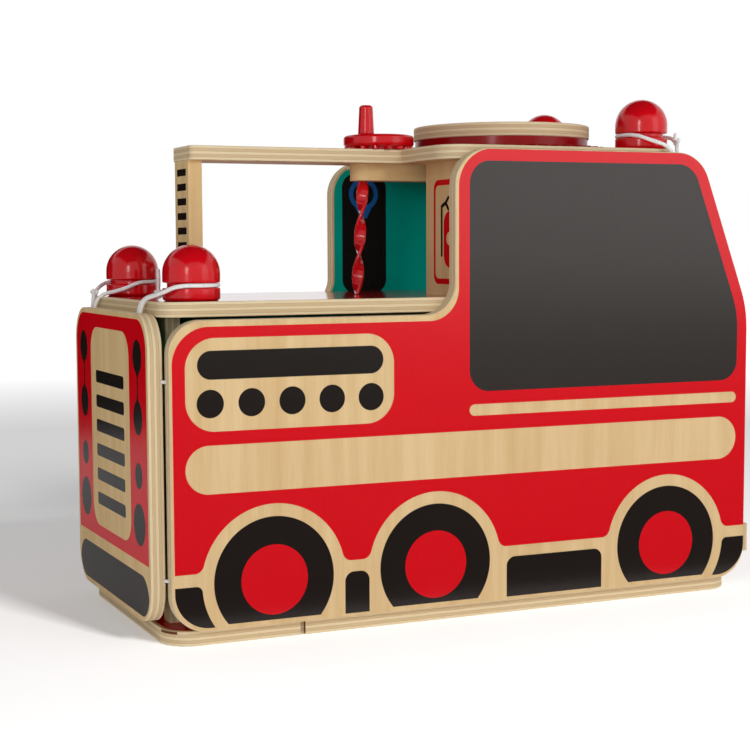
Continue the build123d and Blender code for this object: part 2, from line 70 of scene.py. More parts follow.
# %% [markdown]
# The camera stands where the photographer stood. Its place, turn and lens come from the corners of
# the truck, and its small shift puts the centre of the lens where it lies in the picture. A
# constraint could aim it, but a matrix made from three turns is exact: to the side, down a little,
# then a roll.

# %% Camera at the photograph's place
camera_place = (-0.5189, -1.0676, 0.2571)
camera_yaw, camera_tilt, camera_roll = (math.radians(angle) for angle in (-23.78, 90 - 4.97, -0.30))
camera_lens = 76.24
camera_shift = (0.0260, 0.0160)

camera_data = bpy.data.cameras.new("camera")
camera_data.lens = camera_lens
camera_data.sensor_width = 36.0
camera_data.shift_x, camera_data.shift_y = camera_shift
camera_data.clip_start = 0.05
camera = bpy.data.objects.new("camera", camera_data)
turn = Matrix.Rotation(camera_yaw, 4, "Z") @ Matrix.Rotation(camera_tilt, 4, "X")
camera.matrix_world = Matrix.Translation(camera_place) @ turn @ Matrix.Rotation(camera_roll, 4, "Z")
bpy.context.scene.collection.objects.link(camera)
bpy.context.scene.camera = camera
bpy.context.scene.view_settings.view_transform = "Standard"
print("camera", [round(c, 4) for c in camera.location])

# %% [markdown]
# Shader maths is easier to read as sums than as boxes and wires. A Value wraps one socket, and
# arithmetic on Values adds the Math nodes that do it. A Finish is one material, and its node method
# makes any other node from its type, its settings and its inputs.


# %% Shader maths written as expressions
class Value:
    """One socket of a finish. Arithmetic with numbers or other Values adds Math nodes."""

    def __init__(self, finish, socket):
        self.finish = finish
        self.socket = socket

    def math(self, operation, *others, clamp=False):
        settings = {"operation": operation, "use_clamp": clamp}
        return self.finish.node("ShaderNodeMath", settings, [self, *others])

    def __rsub__(self, other):
        return self.finish.node("ShaderNodeMath", {"operation": "SUBTRACT"}, [other, self])

    __add__ = __radd__ = lambda self, other: self.math("ADD", other)
    __mul__ = __rmul__ = lambda self, other: self.math("MULTIPLY", other)
    __sub__ = lambda self, other: self.math("SUBTRACT", other)
    __truediv__ = lambda self, other: self.math("DIVIDE", other)
    __neg__ = lambda self: self.math("MULTIPLY", -1.0)
    __abs__ = lambda self: self.math("ABSOLUTE")


class Finish:
    """One material: a Principled shader, the object's coordinates in millimetres, and a node method."""

    def __init__(self, name):
        self.material = bpy.data.materials.new(name)
        self.material.use_nodes = True
        self.tree = self.material.node_tree
        self.shader = self.tree.nodes["Principled BSDF"]
        self.feed("IOR", 1.45)

    def node(self, kind, settings=None, inputs=(), output=0):
        """Any node, from its type, its settings and its inputs. stops are a ramp's places and colours."""
        made = self.tree.nodes.new(kind)
        for key, value in (settings or {}).items():
            if key == "stops":
                for element, (place, tint) in zip(made.color_ramp.elements, value):
                    element.position = place
                    element.color = tint
            else:
                setattr(made, key, value)
        for key, value in inputs.items() if isinstance(inputs, dict) else enumerate(inputs):
            if isinstance(value, Value):
                self.tree.links.new(value.socket, made.inputs[key])
            else:
                made.inputs[key].default_value = value
        return Value(self, made.outputs[output])

    def places(self):
        """The object's own X, Y and Z in millimetres, from output 3 of the node, Object."""
        coordinates = self.node("ShaderNodeTexCoord", output=3)
        split = [self.node("ShaderNodeSeparateXYZ", {}, [coordinates], output=i) for i in range(3)]
        return [part * 1000.0 for part in split]

    def noise(self, x, y, z, detail=2.0):
        """Smooth noise from 0 to 1 over the three given coordinates."""
        vector = self.node("ShaderNodeCombineXYZ", {}, [x, y, z])
        inputs = {"Vector": vector, "Scale": 1.0, "Detail": detail, "Roughness": 0.5}
        return self.node("ShaderNodeTexNoise", {}, inputs)

    def mix(self, mask, under, over):
        """The colour under, covered by the colour over where the mask is 1."""
        return self.node("ShaderNodeMix", {"data_type": "RGBA"}, {0: mask, 6: under, 7: over}, output=2)

    def ramp(self, value, *stops):
        return self.node("ShaderNodeValToRGB", {"stops": stops}, [value])

    def feed(self, name, value):
        """Link a Value to the shader, or set a plain number or colour on its socket."""
        if isinstance(value, Value):
            self.tree.links.new(value.socket, self.shader.inputs[name])
        else:
            self.shader.inputs[name].default_value = value

    def bump(self, height, strength, distance):
        inputs = {"Strength": strength, "Distance": distance, "Height": height}
        self.feed("Normal", self.node("ShaderNodeBump", {}, inputs))


def colour(red, green, blue):
    """A colour from 0 to 255, as it looks in the picture, turned into light for the shader."""
    parts = [c / 255 for c in (red, green, blue)]
    return (*[c / 12.92 if c <= 0.04045 else ((c + 0.055) / 1.055) ** 2.4 for c in parts], 1.0)


def darker(tint, share):
    """The same colour with its light cut to the given share."""
    return tuple(c * share for c in tint[:3]) + (1.0,)


# %% [markdown]
# Every print on the toy is drawn with distances, not with a picture. A shape is a number that is
# positive inside it, in millimetres from its edge, and it turns into ink where it crosses zero. Two
# shapes are cut by taking the smaller distance, and their corner is rounded by measuring from a point
# one radius inside both edges, as a sign maker would.


# %% Shapes drawn by distance
def smaller(a, b):
    return a.math("MINIMUM", b) if isinstance(a, Value) else b.math("MINIMUM", a)


def larger(a, b):
    return a.math("MAXIMUM", b) if isinstance(a, Value) else b.math("MAXIMUM", a)


def hypotenuse(a, b):
    """Square root of a squared plus b squared."""
    return b.math("MULTIPLY_ADD", b, a * a).math("SQRT")


def both(a, b, radius=0.0):
    """Inside a and b; where their edges meet, the corner is an arc of the given radius."""
    if radius == 0:
        return smaller(a, b)
    return larger(smaller(a, b), radius) - hypotenuse(larger(radius - a, 0.0), larger(radius - b, 0.0))


def either(a, b, radius=0.0):
    """Inside a or b, with the inner corner between them filled by an arc of the given radius."""
    if radius == 0:
        return larger(a, b)
    corner = hypotenuse(larger(a + radius, 0.0), larger(b + radius, 0.0))
    return corner - larger(smaller(-a, -b), radius)


def between(x, low, high):
    """Distance inside the band from low to high."""
    return (high - low) / 2 - abs(x - (low + high) / 2)


def rounded_box(x, z, left, right, low, high, radius):
    return both(between(x, left, right), between(z, low, high), radius)


def capsule(x, z, left, right, low, high):
    """A bar whose ends are half circles."""
    return rounded_box(x, z, left, right, low, high, (high - low) / 2)


def disc(x, z, centre_x, centre_z, radius):
    return radius - hypotenuse(x - centre_x, z - centre_z)


def oval(x, z, centre_x, centre_z, half_width, half_height):
    """An ellipse: a disc on coordinates that are stretched to its half sizes."""
    return (1.0 - hypotenuse((x - centre_x) / half_width, (z - centre_z) / half_height)) * half_width


def ink(distance, soft=0.18):
    """1 inside the shape and 0 outside, with an edge as crisp as a screen print."""
    return distance.math("MULTIPLY_ADD", 1 / soft, 0.5, clamp=True)


def repeat(x, first, pitch):
    """The coordinate measured from the nearest of a row of centres, spaced by the pitch."""
    return (x - first).math("WRAP", pitch / 2, -pitch / 2)


# %% [markdown]
# The toy is birch plywood: pale veneer with soft streaks along the grain, and cut edges that show
# crossed plies with thin glue lines between. Both are worked out from the board's own coordinates, so
# the bands run round every corner at their true thickness. An image of wood would need unwrapping and
# would smear there.

# %% Birch veneer and plywood edges
veneer_pale = colour(228, 198, 148)
veneer_deep = colour(209, 172, 118)
edge_pale = colour(232, 213, 177)
edge_deep = colour(205, 178, 136)
glue_line = colour(166, 131, 90)
# Dark brown painted on a cut edge as shade, under the gap at the base's corner and in a notch.
gap_shade_brown = colour(104, 60, 32)
ply_count = 5
board_thickness = 10.0
face_skin = 0.06
fleck_threshold = 0.66
# Broad streaks, fine streaks and flecks: how fast each changes along the grain and across it, per
# millimetre, and its detail.
grain_layers = ((0.006, 0.11, 3.0), (0.05, 1.6, 2.0), (0.35, 2.8, 1.0))


def veneer(finish, along, across, depth):
    """Birch face: broad and fine streaks added up, and flecks where their noise peaks."""
    broad, fine, fleck = [
        finish.noise(along * slow, across * quick, depth * quick, detail)
        for slow, quick, detail in grain_layers
    ]
    tone = broad * 0.75 + fine * 0.3 + larger(fleck - fleck_threshold, 0.0) * 1.1 - 0.05
    return finish.ramp(tone, (0.30, veneer_pale), (0.78, veneer_deep)), fine


def ply_edge(finish, depth, one, other):
    """Plywood's cut edge: depth over a ply's thickness, a little wavy, counts the plies. Odd ones are
    darker, and glue lies where the count is nearly whole."""
    wave = finish.noise(one * 0.05, other * 0.05, depth * 0.1, 1.0) - 0.5
    level = (depth + wave * 0.5) / (board_thickness / ply_count)
    layer = level.math("FLOOR").math("MODULO", 2.0)
    streak = finish.noise(one * 0.16, other * 0.16, depth * 3.5, 3.0)
    pores = finish.noise(one * 2.0, other * 2.0, depth * 2.0)
    tone = layer * 0.5 + streak * 0.35 + layer * pores * 0.35 - 0.1
    wood = finish.ramp(tone, (0.0, edge_pale), (1.0, edge_deep))
    line = 0.5 - abs(level.math("FRACT") - 0.5)
    glue = ink(0.055 - line, 0.06) * (0.35 + streak * 0.6)
    return finish.mix(glue, wood, glue_line)

# %% [markdown]
# One function finishes every board. The depth through the board tells its faces from its cut edge,
# and each face may carry a print, which is a colour and a mask of where the paint lies. Paint fills
# the grain, so the same mask also lowers the roughness and the bump.

# %% Board finish
bare_roughness = 0.52
paint_roughness = 0.2
edge_roughness = 0.62
grain_roughness = 0.12
grain_relief = 0.6
paint_fill = 0.65
X, Y, Z = 0, 1, 2


def dress(material, *nodes):
    """Give CAD nodes their finish."""
    for node in nodes:
        thing = frame["nodes"][node]
        if not thing.material_slots:
            thing.data.materials.append(material)
        for place in thing.material_slots:
            place.material = material


class Artwork:
    """Ink laid over veneer, one shape after another. cover is 1 where there is any paint."""

    def __init__(self, finish, wood, fine):
        self.finish = finish
        self.wood = wood
        self.fine = fine
        self.colour = wood
        self.cover = 0.0

    def paint(self, shape, tint):
        """Print a shape; a trace of the grain shows through the ink."""
        mask = ink(shape)
        tone = self.finish.mix(larger(self.fine - 0.45, 0.0), tint, darker(tint, 0.82))
        self.colour = self.finish.mix(mask, self.colour, tone)
        self.cover = larger(mask, self.cover)

    def bare(self, shape):
        """Leave a shape unprinted, so that the veneer shows."""
        mask = ink(shape)
        self.colour = self.finish.mix(mask, self.colour, self.wood)
        self.cover = self.cover * (1.0 - mask)


def without(places, axis):
    return [place for index, place in enumerate(places) if index != axis]


def dress_board(node, axis, low, high_print=None, low_print=None, grain=Z, gloss=0.0, sheen=0.12,
                solid=False, gap_shade=None, depth_of=None):
    """Plywood for one node, whose thickness lies along axis, from its face at low.

    A print gets the two other coordinates. grain is the axis of the veneer's grain, and sheen is how
    much the board mirrors. A solid board shows no plies. gap_shade gives the distance inside places on
    the edge that are painted dark brown as shade, and depth_of the depth through a board that leans or
    isn't ten millimetres thick.
    """
    finish = Finish(node + "_paint")
    finish.feed("Specular IOR Level", sheen)
    places = finish.places()
    depth = depth_of(*places) if depth_of else places[axis] - low
    wood, fine = veneer(finish, places[grain], *without(places, grain))
    face = wood
    painted = 0.0
    for face_print, side in ((high_print, 1), (low_print, -1)):
        if face_print is None:
            continue
        art = Artwork(finish, wood, fine)
        face_print(art, *without(places, axis))
        here = ink((depth - board_thickness / 2) * side, 1.0)
        face = finish.mix(here, face, art.colour)
        painted = art.cover * here + painted
    on_edge = ink(between(depth, face_skin, board_thickness - face_skin), 0.02)
    edge = wood if solid else ply_edge(finish, depth, places[0] + places[1], places[2])
    # Painted shade: the edge turns dark brown inside the places that this function gives.
    if gap_shade is not None:
        edge = finish.mix(ink(gap_shade(*places)), edge, gap_shade_brown)
    finish.feed("Base Color", finish.mix(on_edge, face, edge))
    rough = on_edge * (edge_roughness - bare_roughness) + bare_roughness + (fine - 0.5) * grain_roughness
    relief = fine * grain_relief
    if isinstance(painted, Value):
        painted = painted * (1.0 - on_edge)
        rough = rough - painted * (bare_roughness - paint_roughness)
        relief = relief * (1.0 - painted * paint_fill)
    if gloss:
        finish.feed("Coat Weight", painted * gloss)
        finish.feed("Coat Roughness", 0.1)
    finish.feed("Roughness", rough)
    finish.bump(relief, 0.12, 0.0004)
    dress(finish.material, node)
    print(node, "shader nodes:", len(finish.tree.nodes))


# %% [markdown]
# The long sides carry the truck's picture: a red body with a bare rim, a louvre and five round ports
# on a bare field, a bare strip, three wheels under bare arches, black bumpers and a dark window. The
# strip and the field over the louvre stay without words. The inside faces are ground boards for play:
# teal land with a road that runs on from board to board when the truck is opened. The measures are
# millimetres from the panel's lower rear corner.

# %% The truck's colours and the side panel's outline
red = colour(215, 4, 22)
deep_red = colour(168, 4, 16)
black_ink = colour(33, 27, 24)
window_ink = colour(50, 45, 42)
teal = colour(0, 175, 157)
pale_teal = colour(78, 178, 158)
road_ink = colour(26, 23, 21)
blue = colour(28, 98, 168)
coral = colour(226, 84, 58)
cream = colour(240, 226, 198)

rear_end = -224.0
board_foot = 10.3
panel_rear = 1.2
panel_nose = 449.2
bed_top = 202.0
cab_top = 315.0
cab_start_near = 205.2
cab_start_far = 196.8
brow_height = 201.0
brow_setback = 43.3
rim = 3.5
brow_lean = math.atan2(brow_setback, cab_top - brow_height)
corner_radii = {"foot": 24.0, "rear": 22.0, "neck": 22.0, "cab_back": 26.0, "brow": 28.0, "nose": 80.0}


def oblique(radius, turn):
    """The rounding that both() needs where two edges don't meet squarely but turn by turn radians."""
    return radius * math.tan(turn / 2) * math.sin(turn)


def slant_edge(along, up):
    """Distance behind the panel's leaning front edge."""
    return (panel_nose - along) * math.cos(brow_lean) - (up - brow_height) * math.sin(brow_lean)


def panel_edge(along, up, cab_start, rear=panel_rear, bed=bed_top, top=cab_top, foot=0.0,
               rear_bend=corner_radii["rear"]):
    """Distance inside a side panel's outline, or inside a print that keeps off some of its edges."""
    front = both(panel_nose - along, slant_edge(along, up), oblique(corner_radii["nose"], brow_lean))
    front = both(front, top - up, oblique(corner_radii["brow"], math.pi / 2 - brow_lean))
    cab = both(along - cab_start, top - up, corner_radii["cab_back"])
    step = either(bed - up, cab, corner_radii["neck"])
    back = both(step, along - rear, rear_bend)
    return both(both(back, front), up - foot, corner_radii["foot"])


# %% The outside of a long side
wheel_places = (71.5, 190.0, 379.0)
wheel_height = 30.4
hub_radius = 23.4
tyre_radius = 42.1
tyre_foot = 3.6
arch_radius = 50.5
arch_join = 5.0
stripe_high = 38.5
bumper_foot = 2.4
bumper_head = 30.2
bumper_join = 4.0
guard_places = ((121.9, 139.8), (245.5, 323.5))
guard_radius = 6.5
field_box = (11.7, 158.5, 130.2, 190.5)
field_radius = 20.0
louvre_box = (19.8, 150.7, 163.8, 182.4)
port_first = 28.4
port_pitch = 28.3
port_height = 148.2
port_radius = 9.2
strip_box = (11.2, 440.0, 89.7, 121.3)
thin_stripe = (216.0, 439.8, 131.6, 139.5)
window_box = (216.0, 440.3, 148.3, 306.5)
window_slant_gap = 9.2
window_radii = {"rear": 15.5, "brow": 17.5, "foot": 15.0, "nose": 60.0}
print_cab_gap = 2.4
# How far the ink reaches: its rear, the top over the bed and over the cab, its foot and rear corner.
print_reach = (3.0, 197.8, 314.6, 2.4, 25.0)


def side_print(art, along, up, cab_start):
    """The truck's side, seen from outside. Its ink runs off the front edge, as on the real one."""
    inside = panel_edge(along, up, cab_start + print_cab_gap, *print_reach)
    wheels = reduce(smaller, [hypotenuse(along - place, up - wheel_height) for place in wheel_places])
    art.paint(both(inside, both(up - stripe_high, wheels - arch_radius, arch_join)), red)
    art.bare(rounded_box(along, up, *field_box, field_radius))
    art.paint(capsule(along, up, *louvre_box), black_ink)
    ports = disc(repeat(along, port_first, port_pitch), up, 0.0, port_height, port_radius)
    art.paint(both(ports, between(along, *field_box[:2])), black_ink)
    art.bare(capsule(along, up, *strip_box))
    art.bare(capsule(along, up, *thin_stripe))
    left, right, low, high = window_box
    window = both(along - left, high - up, window_radii["rear"])
    slant = slant_edge(along, up) - window_slant_gap
    front = both(right - along, slant, oblique(window_radii["nose"], brow_lean))
    window = both(window, front, oblique(window_radii["brow"], math.pi / 2 - brow_lean))
    art.paint(both(window, up - low, window_radii["foot"]), window_ink)
    art.paint(both(tyre_radius - wheels, up - tyre_foot), black_ink)
    art.paint(hub_radius - wheels, red)
    under = both(wheels - arch_radius + 0.5, bumper_head - up, bumper_join)
    ends = larger(wheel_places[0] - along, along - wheel_places[2])
    art.paint(both(both(both(under, up - bumper_foot), inside), ends), black_ink)
    guards = reduce(larger, [
        rounded_box(along, up, *guard, -bumper_head, bumper_head + 0.6, guard_radius)
        for guard in guard_places
    ])
    art.paint(both(guards, up - bumper_foot), black_ink)


# %% The inside faces: ground boards with a road
map_rim = 2.0
pond_box = (60.0, 172.0, 122.0, 176.0)
pond_radius = 27.0
bay_box = (205.7, 244.0, 211.5, 306.0)
bay_radius = 11.0
road_low = 60.0
road_high = 98.0
dash_pitch = 26.0
dash_half = (7.0, 1.4)
pin_place = (224.3, 290.0)
pin_radius = 12.6
pin_hole = 8.9
pin_taper = 0.52
pin_drop = 19.0


def map_print(art, along, up, edge):
    """Teal land, a road along the board with a parking bay up the cab part, a pin and a pond."""
    land = edge - map_rim
    art.paint(land, teal)
    art.paint(both(rounded_box(along, up, *pond_box, pond_radius), land), pale_teal)
    art.paint(both(rounded_box(along, up, *bay_box, bay_radius), land), road_ink)
    art.paint(both(between(up, road_low, road_high), land), road_ink)
    aside = up - (road_low + road_high) / 2
    dashes = both(dash_half[0] - abs(repeat(along, 0.0, dash_pitch)), dash_half[1] - abs(aside))
    art.paint(both(dashes, land), cream)
    pin_along, pin_up = pin_place
    head = disc(along, up, pin_along, pin_up, pin_radius)
    point = (up - pin_up) * pin_taper + pin_radius - abs(along - pin_along)
    drop = either(head, both(point, between(up, pin_up - pin_drop, pin_up)))
    art.paint(both(drop, hypotenuse(along - pin_along, up - pin_up) - pin_hole), blue)


# %% Both long sides
half_width = 103.0
inner_half_width = half_width - board_thickness
side_sheen = 0.36


def dress_side(side, low_face, cab_start):
    """One long side, whose lower face in Y is at low_face: the picture outside and the map inside."""

    def picture(art, x, z):
        side_print(art, x - rear_end, z - board_foot, cab_start)

    def ground(art, x, z):
        along, up = x - rear_end, z - board_foot
        map_print(art, along, up, panel_edge(along, up, cab_start))

    high, low = (ground, picture) if side == "near" else (picture, ground)
    dress_board(side + "_side_panel", Y, low_face, high, low, sheen=side_sheen)


dress_side("near", -half_width, cab_start_near)
dress_side("far", inner_half_width, cab_start_far)

# %% [markdown]
# The rear panel is the truck's back: a black bumper under a bare stripe, six louvres on a bare field
# with room left empty above them, and lamps down each side. Each upper lamp is two ovals joined by a
# bar, which melt into each other where they meet.

# %% The rear panel
rear_foot = 10.0
rear_box = (-93.0, 93.0, 4.0, 206.0)
rear_radius = 24.0
rear_field = (-49.4, 49.4, 51.6, 193.0)
rear_bumper = (-89.4, 89.4, 7.7, 35.0)
rear_join = 17.0
rear_stripe = (35.0, 43.1)
rear_slots = (71.3, 17.4, 6, 36.2)
slot_half = 4.4
slot_radius = 2.2
lamp_place = 69.3
lamp_rounds = ((100.0, 8.4), (67.8, 13.6))
lamp_stretch = 1.03
lens_heights = (138.0, 178.0)
lens_half = (10.2, 11.3)
lens_bar = 1.4
lens_join = 3.0
map_shift = 600.0


def louvres(across, up, first, pitch, count, half_long):
    """A stack of bars with rounded corners, spaced by the pitch from the first one's middle."""
    row = repeat(up, first, pitch)
    bars = rounded_box(across, row, -half_long, half_long, -slot_half, slot_half, slot_radius)
    return both(bars, between(up, first - pitch / 2, first + pitch * (count - 0.5)))


def rear_print(art, y, z):
    """The truck's back, seen from outside."""
    up = z - rear_foot
    inside = rounded_box(y, up, *rear_box, rear_radius) - rim
    art.paint(both(inside, up - rear_stripe[1]), red)
    art.paint(both(rounded_box(y, up, *rear_bumper, rear_join), rear_stripe[0] - up), black_ink)
    art.bare(rounded_box(y, up, *rear_field, rear_join))
    art.paint(louvres(y, up, *rear_slots), black_ink)
    aside = abs(y) - lamp_place
    bar = rounded_box(aside, up, -lens_bar, lens_bar, *lens_heights, lens_bar)
    for height in lens_heights:
        bar = either(bar, oval(aside, up, 0.0, height, *lens_half), lens_join)
    lamps = [oval(aside, up, 0.0, height, radius, radius * lamp_stretch) for height, radius in lamp_rounds]
    art.paint(reduce(larger, [*lamps, bar]), black_ink)


def rear_map(art, y, z):
    """The inside of the rear panel: the road runs straight across it, clear of the bay and the pond."""
    edge = rounded_box(y, z - rear_foot, *rear_box, rear_radius)
    map_print(art, y + map_shift, z - board_foot, edge)


dress_board("rear_panel", X, rear_end - board_thickness, rear_map, rear_print, sheen=0.04)

# %% [markdown]
# The ground board, the deck and the half floor are painted on top and keep a thin bare rim. Each is a
# rounded rectangle, so one function makes all three prints. The deck is glossier, and the half floor
# has slanted warning stripes along its open edge.

# %% Painted floors
base_box = (-223.7, 220.0, -97.0, 97.0)
deck_box = (-223.7, 220.0, -92.7, 92.7)
floor_box = (8.0, 210.0, -10.0, 92.0)
floor_low = 106.0
deck_low = 213.8
deck_gloss = 0.7
hatch_pitch = 9.0
hatch_half = 1.6
# Places on the base's edge that are painted dark brown as shade: a band at the rear near corner, and the
# inside of a notch.
corner_shade_box = (-216.6, -79.4, 7.8, 9.6)
notch_shade_box = (-132.1, -128.7, -94.6, 0.8, 8.8)


def floor_print(box, radius, bare_rim, tint, hatch=False):
    """A painted top with a bare rim; hatch adds slanted stripes along the -Y edge."""

    def printed(art, x, y):
        edge = rounded_box(x, y, *box, radius) - bare_rim
        art.paint(edge, tint)
        if hatch:
            slanted = between(repeat(x + y, 0.0, hatch_pitch), -hatch_half, hatch_half)
            start = box[2] + bare_rim
            art.paint(both(both(slanted, between(y, start, start + hatch_pitch)), edge), cream)

    return printed


def base_edge_shade(x, y, z):
    """Painted shade on the cut edge: a dark band just under the top at the rear near corner, below the gap
    between base and panels, and the inside of the notch in the long edge.
    """
    rear, near, low, high = corner_shade_box
    corner = both(both(rear - x, near - y), between(z, low, high))
    left, right, near, low, high = notch_shade_box
    return larger(corner, both(both(between(x, left, right), near - y), between(z, low, high)))


base_top = floor_print(base_box, 20.0, 2.6, red)
deck_top = floor_print(deck_box, 14.0, 0.9, deep_red)
half_floor_top = floor_print(floor_box, 0.1, 2.0, red, True)
# The base's edge carries painted shade at its rear near corner and in its notch.
dress_board("base_board", Z, 0.0, base_top, grain=X, gap_shade=base_edge_shade)
dress_board("deck", Z, deck_low, deck_top, grain=X, gloss=deck_gloss)
dress_board("middle_floor", Z, floor_low, half_floor_top, grain=X)

# %% [markdown]
# The top board is walkway and cab roof in one, so its outline is two rectangles joined square. Two
# curved arrows round the turntable say that it turns, and the walkway has plain steps.

# %% The top board
top_low = 318.5
walk_box = (-180.0, -10.0, -20.0, 20.0, 3.0)
roof_box = (-21.0, 174.0, -92.7, 92.7, 20.0)
turntable_x = 73.0
arrow_radius = 86.2
arrow_half = 1.3
arrow_reach = 34.0
arrow_head = 2.9
arrow_taper = 0.8
walk_patch = (-168.0, -92.0, -13.5, 13.5, 3.0)
walk_steps = (-84.0, -40.0, -13.5, 13.5, 0.5)
step_pitch = 9.5
step_half = 2.6


def roof_print(art, x, y):
    """Coral inside the outline, arrows along a ring round the turntable, and a patch and steps."""
    top = larger(rounded_box(x, y, *walk_box), rounded_box(x, y, *roof_box)) - rim
    art.paint(top, coral)
    across = x - turntable_x
    off_ring = abs(hypotenuse(across, y) - arrow_radius)
    past = abs(across) - arrow_reach
    bow = both(arrow_half - off_ring, -past)
    tip = both(past + 1.0, across * y * 0.01)
    head = arrow_head - off_ring - past * arrow_taper
    art.paint(both(top - 2.0, either(bow, both(head, tip))), cream)
    art.paint(rounded_box(x, y, *walk_patch), teal)
    treads = step_half - abs(repeat(x, walk_steps[0], step_pitch))
    art.paint(both(rounded_box(x, y, *walk_steps), treads), cream)


dress_board("top_shelf", Z, top_low, roof_print, grain=X)

# %% [markdown]
# The walls stay bare on most sides. The one behind the cab shows a framed place for an extinguisher
# and its hose, in plain shapes of our own. The post and the ladder strips have printed rungs, and the
# painted band round each doorway is the doorway's own shape, grown by the band's width.

# %% The wall behind the cab
frame_box = (-86.0, -36.2, 231.6, 305.9)
frame_line = (2.8, 4.0)
frame_radii = (7.0, 4.5)
tank_box = (-72.0, -52.0, 243.5, 283.5, 9.0)
tank_notch = (-80.0, -56.2, 259.2, 268.7, 4.7)
hose_half = 1.4
hose_end = (-48.8, 252.4)
hose_top = (-48.8, 286.9)
hose_fork = (-55.1, 289.4)
hose_handles = ((-59.1, 292.9), (-59.1, 284.9))


def stroke(x, z, start, end):
    """A hose line with round ends: the distance to the nearest point between start and end."""
    run_x, run_z = end[0] - start[0], end[1] - start[1]
    square = run_x * run_x + run_z * run_z
    share = ((x - start[0]) * run_x + (z - start[1]) * run_z).math("DIVIDE", square, clamp=True)
    return hose_half - hypotenuse(x - start[0] - share * run_x, z - start[1] - share * run_z)


def cab_wall_print(art, y, z):
    """A red frame with an extinguisher and its hose on the bare field inside it."""
    left, right, low, high = frame_box
    aside, above = frame_line
    outer, inner = frame_radii
    inside = rounded_box(y, z, left + aside, right - aside, low + above, high - above, inner)
    art.paint(both(rounded_box(y, z, *frame_box, outer), -inside), red)
    art.paint(both(rounded_box(y, z, *tank_box), -rounded_box(y, z, *tank_notch)), red)
    lines = [(hose_end, hose_top), (hose_top, hose_fork), *[(hose_fork, handle) for handle in hose_handles]]
    art.paint(reduce(larger, [stroke(y, z, *line) for line in lines]), black_ink)


# %% Rungs on the post and the ladders
rung_pitch = 10.1
rung_half = 2.45
rung_reach = 10.0
rung_gap = 2.0
ladder_middle = 86.0
post_middle_rung = 310.5


def rung_print(low, high, first, middle):
    """Black rungs across a strip between two heights, as far to each side of its middle."""

    def printed(art, across, z):
        rungs = both(rung_half - abs(repeat(z, first, rung_pitch)), rung_reach - abs(across - middle))
        art.paint(both(rungs, between(z, low + rung_gap, high - rung_gap)), black_ink)

    return printed


for node, low, high in (
    ("ladder_lower", 10.0, floor_low),
    ("ladder_upper", floor_low + board_thickness, deck_low),
):
    dress_board(node, Y, -board_thickness, None, rung_print(low, high, low + 5.0, ladder_middle))
post_rungs = rung_print(deck_low + board_thickness, top_low, post_middle_rung, 0.0)
dress_board("ladder_post", X, -180.0, None, post_rungs, sheen=0.02, solid=True)

# %% The rear and middle walls
wall_low = 10.0
rear_door = (0.0, 48.0, 112.0)
rear_door_band = 7.0
rear_wall_half = 66.0
wall_lamp_place = (45.0, 186.0)
wall_lamp_rings = (9.0, 6.2, 3.6)
wall_sign = (-27.0, 27.0, 178.0, 194.0)
middle_door = (-48.0, 27.0, 67.0)
middle_door_band = 5.0
middle_window = (-78.0, -18.0, 131.0, 193.0, 11.0)
brick = 9.0
brick_joint = 0.8
brick_patch = (16.0, 86.0, 19.0, 73.0, 1.0)


def arch(y, z, centre, half, straight):
    """A doorway: straight jambs up to the height straight, then a half circle."""
    jambs = both(half - abs(y - centre), straight - z)
    return larger(jambs, disc(y, z, centre, straight, half))


def rear_wall_print(art, y, z):
    """A red band round the doorway, two lamps of three rings and a dark sign."""
    art.paint(both(arch(y, z, *rear_door) + rear_door_band, between(y, -rear_wall_half, rear_wall_half)), red)
    aside, height = wall_lamp_place
    out = hypotenuse(abs(y) - aside, z - height)
    outer, middle, inner = wall_lamp_rings
    art.paint(outer - out, black_ink)
    art.bare(middle - out)
    art.paint(inner - out, red)
    art.paint(capsule(y, z, *wall_sign), black_ink)


def middle_wall_print(art, y, z):
    """A red band round the doorway, a dark window and coral bricks, each course half a brick along."""
    art.paint(arch(y, z, *middle_door) + middle_door_band, red)
    art.paint(rounded_box(y, z, *middle_window), black_ink)
    course = ((z - wall_low) / brick).math("FLOOR").math("MODULO", 2.0)
    along = repeat(y + course * brick, 0.0, brick * 2)
    up = repeat(z, wall_low + brick / 2, brick)
    bricks = both(brick - brick_joint - abs(along), brick / 2 - brick_joint - abs(up))
    art.paint(both(bricks, rounded_box(y, z, *brick_patch)), coral)


dress_board("cab_back_wall", X, -2.0, None, cab_wall_print)
dress_board("rear_wall", X, -214.0, None, rear_wall_print)
dress_board("middle_wall", X, -2.0, None, middle_wall_print)

# %% [markdown]
# The nose isn't seen in the picture, so it repeats the truck's own shapes: louvres on a bare field
# and round lamps. The windscreen board leans, so its depth is measured square to its own face. Its
# outside is dark like the side windows.

# %% The nose and the windscreen
nose_box = (-92.0, 92.0, 10.0, 213.8, 3.0)
nose_field = (-44.0, 44.0, 70.0, 178.0, 16.0)
nose_slots = (84.0, 18.0, 5, 33.0)
nose_lamp = (67.0, 92.0)
nose_rings = (19.0, 15.5, 11.0)
nose_light = (-6.0, 6.0, 128.0, 172.0, 6.0)
nose_red_foot = 62.0
nose_black_head = 54.0
screen_foot = (209.14, 223.8)
screen_heights = (226.0, 316.0)
screen_window = (-66.0, 66.0, 246.5, 305.2)
screen_band = 8.0
bumper_box = (-96.5, 96.5, 27.4, 48.0)
cleat_low = 306.5
cleat_plies = 1.2


